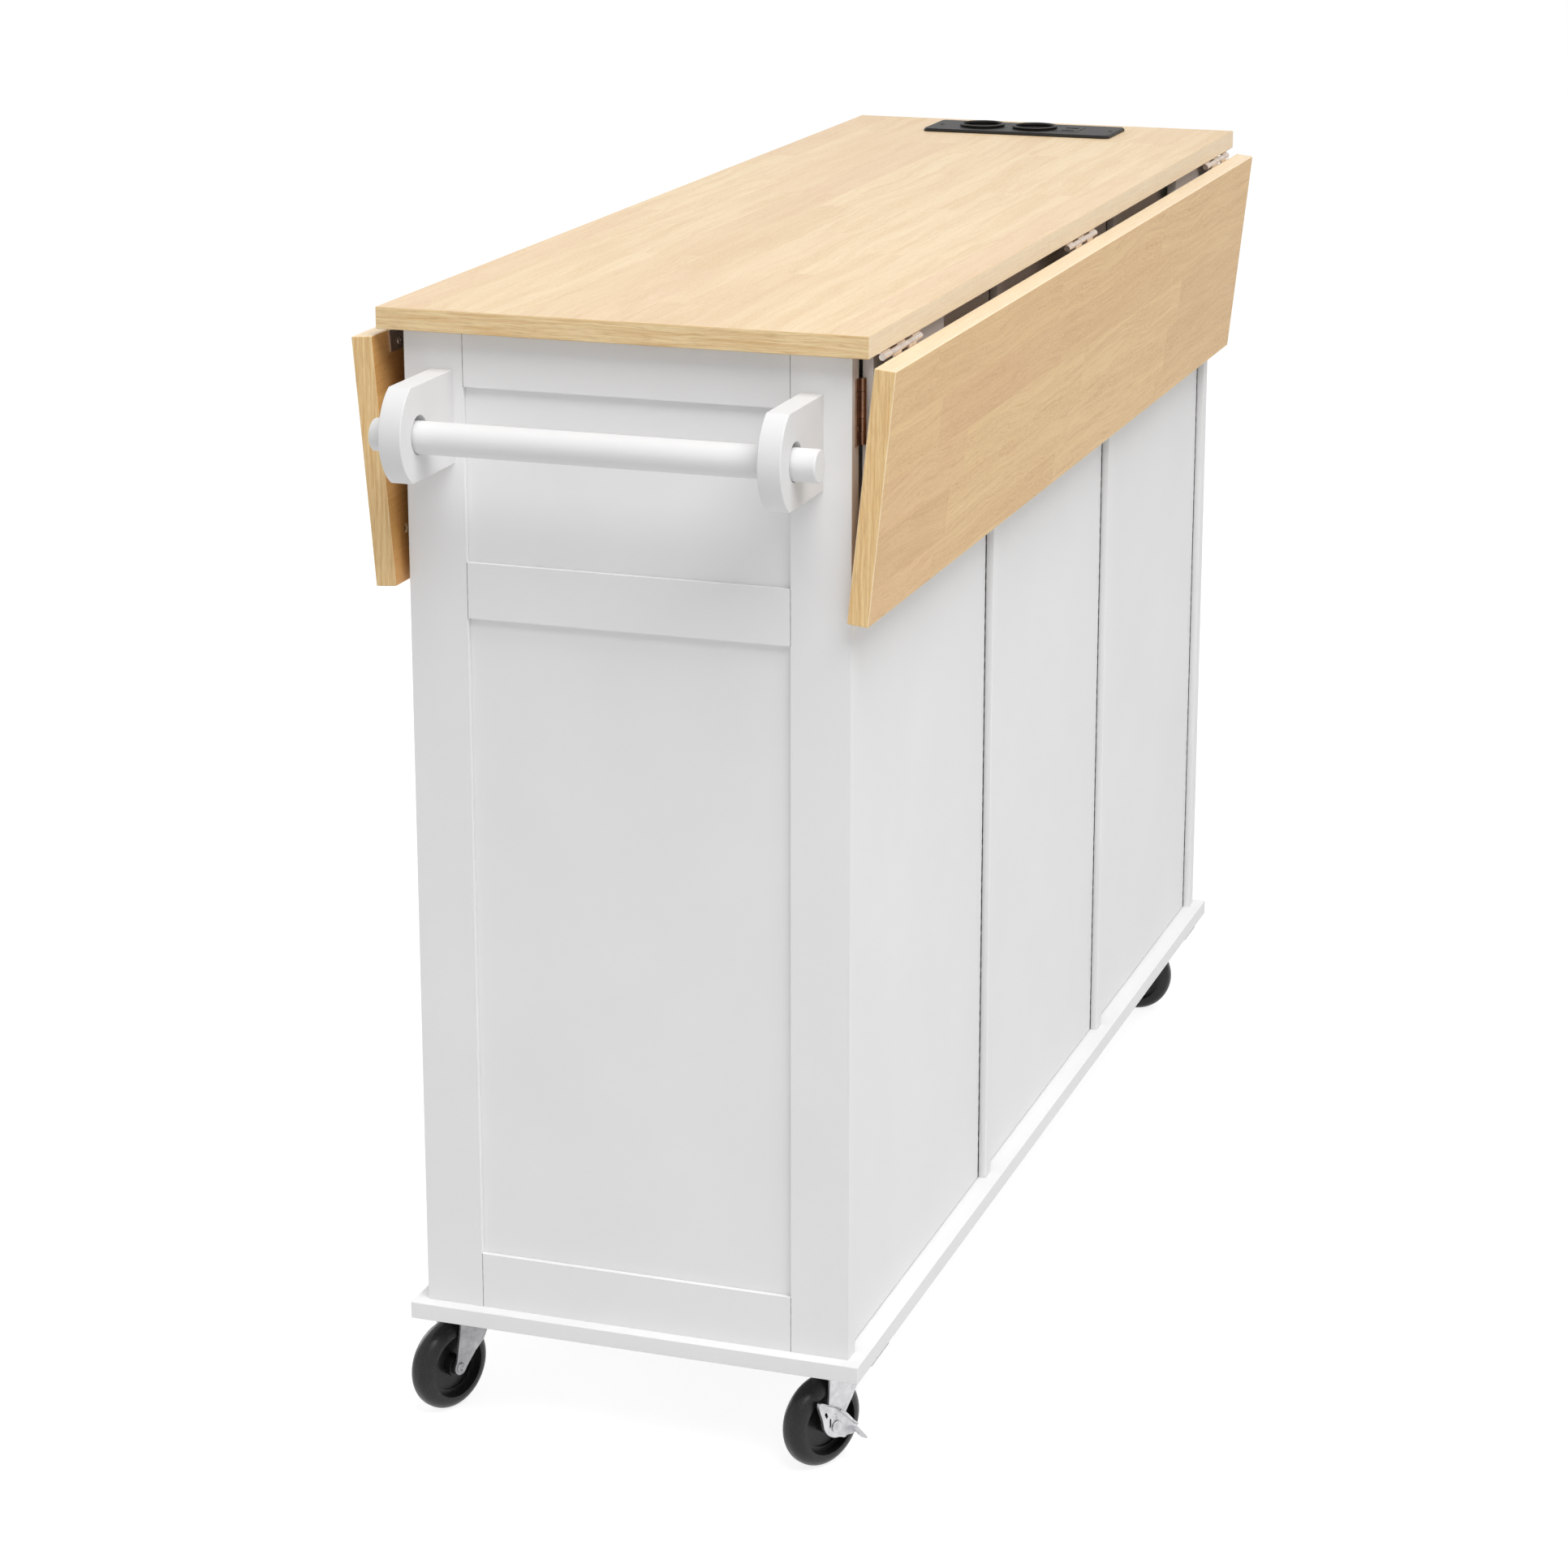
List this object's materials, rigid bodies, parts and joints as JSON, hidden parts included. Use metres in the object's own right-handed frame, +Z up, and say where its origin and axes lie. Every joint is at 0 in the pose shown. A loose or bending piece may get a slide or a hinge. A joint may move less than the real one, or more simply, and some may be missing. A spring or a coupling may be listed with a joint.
{
  "type": "drop leaf kitchen island",
  "caption": "White kitchen island on casters with a wood-print worktop, hanging drop leaves, a towel rod, doors, drawers, open bays and a countertop socket unit.",
  "frame": {"origin": "on the floor under the middle of the whole island, towel rack included", "axes": "+X along the worktop towards the towel rack, +Y towards the panelled back, +Z up"},
  "size_m": [1.285, 0.4335, 0.9252],
  "materials": {
    "oak_laminate": "satin wood-print laminate with butcher block staves",
    "white_board": "satin white lacquered board",
    "birch_board": "clear satin on birch ply",
    "nickel_steel": "nickel plated, satin",
    "zinc_steel": "bright zinc plated stamping",
    "black_plastic": "fine matt texture",
    "wheel_plastic": "semi-matt moulded nylon"
  },
  "bodies": {
    "cabinet": {"worktop": "oak_laminate", "base_board": "white_board", "right_stiles": "white_board", "right_rails": "white_board", "right_panels": "white_board", "left_stiles": "white_board", "left_rails": "white_board", "left_panels": "white_board", "right_partition": "white_board", "left_partition": "white_board", "back_panels": "white_board", "fixed_shelves": "white_board", "adjustable_shelves": "white_board", "shelf_pins": "zinc_steel", "drawer_runners": "zinc_steel", "back_rack_bracket": "white_board", "front_rack_bracket": "white_board", "socket_housing": "black_plastic", "socket_wells": "black_plastic", "usb_module": "black_plastic", "socket_contacts": "nickel_steel", "caster_plates": "zinc_steel", "back_supports": "white_board", "front_supports": "white_board", "support_hinges": "nickel_steel", "leaf_hinge_plates": "nickel_steel", "door_hinge_plates": "nickel_steel", "hinge_pins": "nickel_steel"},
    "back_leaf": {"back_leaf": "oak_laminate", "back_leaf_hinges": "nickel_steel"},
    "front_leaf": {"front_leaf": "oak_laminate", "front_leaf_hinges": "nickel_steel"},
    "right_door": {"right_door_frame": "white_board", "right_door_panel": "white_board", "right_door_knob": "nickel_steel", "right_door_hinges": "nickel_steel"},
    "left_door": {"left_door_frame": "white_board", "left_door_panel": "white_board", "left_door_knob": "nickel_steel", "left_door_hinges": "nickel_steel"},
    "drawer_1": {"drawer_1_box": "birch_board", "drawer_1_front": "white_board", "drawer_1_knob": "nickel_steel"},
    "drawer_2": {"drawer_2_box": "birch_board", "drawer_2_front": "white_board", "drawer_2_knob": "nickel_steel"},
    "drawer_3": {"drawer_3_box": "birch_board", "drawer_3_front": "white_board", "drawer_3_knob": "nickel_steel"},
    "towel_rod": {"towel_rod": "white_board"},
    "right_front_swivel": {"right_front_fork": "zinc_steel"},
    "right_front_wheel": {"right_front_wheel": "wheel_plastic"},
    "right_back_swivel": {"right_back_fork": "zinc_steel"},
    "right_back_wheel": {"right_back_wheel": "wheel_plastic"},
    "left_front_swivel": {"left_front_fork": "zinc_steel"},
    "left_front_wheel": {"left_front_wheel": "wheel_plastic"},
    "left_back_swivel": {"left_back_fork": "zinc_steel"},
    "left_back_wheel": {"left_back_wheel": "wheel_plastic"},
    "right_back_brake": {"right_back_brake": "zinc_steel"},
    "left_front_brake": {"left_front_brake": "zinc_steel"}
  },
  "joints": [
    {"name": "back_leaf_lift", "type": "hinge", "parent": "cabinet", "child": "back_leaf", "pos_m": [-0.0425, 0.1965, 0.8985], "axis": [1, 0, 0], "range_deg": [0, 96]},
    {"name": "front_leaf_lift", "type": "hinge", "parent": "cabinet", "child": "front_leaf", "pos_m": [-0.0425, -0.1965, 0.8985], "axis": [-1, 0, 0], "range_deg": [0, 94.5]},
    {"name": "right_door_swing", "type": "hinge", "parent": "cabinet", "child": "right_door", "pos_m": [0.5271, -0.1817, 0.106], "axis": [0, 0, 1], "range_deg": [0, 110]},
    {"name": "left_door_swing", "type": "hinge", "parent": "cabinet", "child": "left_door", "pos_m": [-0.6121, -0.1817, 0.106], "axis": [0, 0, -1], "range_deg": [0, 110]},
    {"name": "drawer_1_slide", "type": "slide", "parent": "cabinet", "child": "drawer_1", "axis": [0, -1, 0], "range_m": [0, 0.25]},
    {"name": "drawer_2_slide", "type": "slide", "parent": "cabinet", "child": "drawer_2", "axis": [0, -1, 0], "range_m": [0, 0.25]},
    {"name": "drawer_3_slide", "type": "slide", "parent": "cabinet", "child": "drawer_3", "axis": [0, -1, 0], "range_m": [0, 0.25]},
    {"name": "towel_rod_turn", "type": "hinge", "parent": "cabinet", "child": "towel_rod", "pos_m": [0.608, 0, 0.8321], "axis": [0, 1, 0], "continuous": true},
    {"name": "right_front_swivel_turn", "type": "hinge", "parent": "cabinet", "child": "right_front_swivel", "pos_m": [0.493, -0.162, 0.09], "axis": [0, 0, 1], "continuous": true},
    {"name": "right_front_wheel_spin", "type": "hinge", "parent": "right_front_swivel", "child": "right_front_wheel", "pos_m": [0.52082, -0.17324, 0.0375], "axis": [0.3746, 0.9272, 0], "continuous": true},
    {"name": "right_back_swivel_turn", "type": "hinge", "parent": "cabinet", "child": "right_back_swivel", "pos_m": [0.493, 0.162, 0.09], "axis": [0, 0, 1], "continuous": true},
    {"name": "right_back_wheel_spin", "type": "hinge", "parent": "right_back_swivel", "child": "right_back_wheel", "pos_m": [0.51961, 0.14815, 0.0375], "axis": [0.4617, 0.887, 0], "continuous": true},
    {"name": "right_back_brake_press", "type": "hinge", "parent": "right_back_swivel", "child": "right_back_brake", "pos_m": [0.51961, 0.14815, 0.0375], "axis": [-0.4617, -0.887, 0], "range_deg": [0, 12]},
    {"name": "left_front_swivel_turn", "type": "hinge", "parent": "cabinet", "child": "left_front_swivel", "pos_m": [-0.578, -0.162, 0.09], "axis": [0, 0, 1], "continuous": true},
    {"name": "left_front_wheel_spin", "type": "hinge", "parent": "left_front_swivel", "child": "left_front_wheel", "pos_m": [-0.55872, -0.18498, 0.0375], "axis": [0.766, 0.6428, 0], "continuous": true},
    {"name": "left_front_brake_press", "type": "hinge", "parent": "left_front_swivel", "child": "left_front_brake", "pos_m": [-0.55872, -0.18498, 0.0375], "axis": [-0.766, -0.6428, 0], "range_deg": [0, 12]},
    {"name": "left_back_swivel_turn", "type": "hinge", "parent": "cabinet", "child": "left_back_swivel", "pos_m": [-0.578, 0.162, 0.09], "axis": [0, 0, 1], "continuous": true},
    {"name": "left_back_wheel_spin", "type": "hinge", "parent": "left_back_swivel", "child": "left_back_wheel", "pos_m": [-0.57695, 0.13202, 0.0375], "axis": [0.9994, 0.0349, 0], "continuous": true}
  ]
}
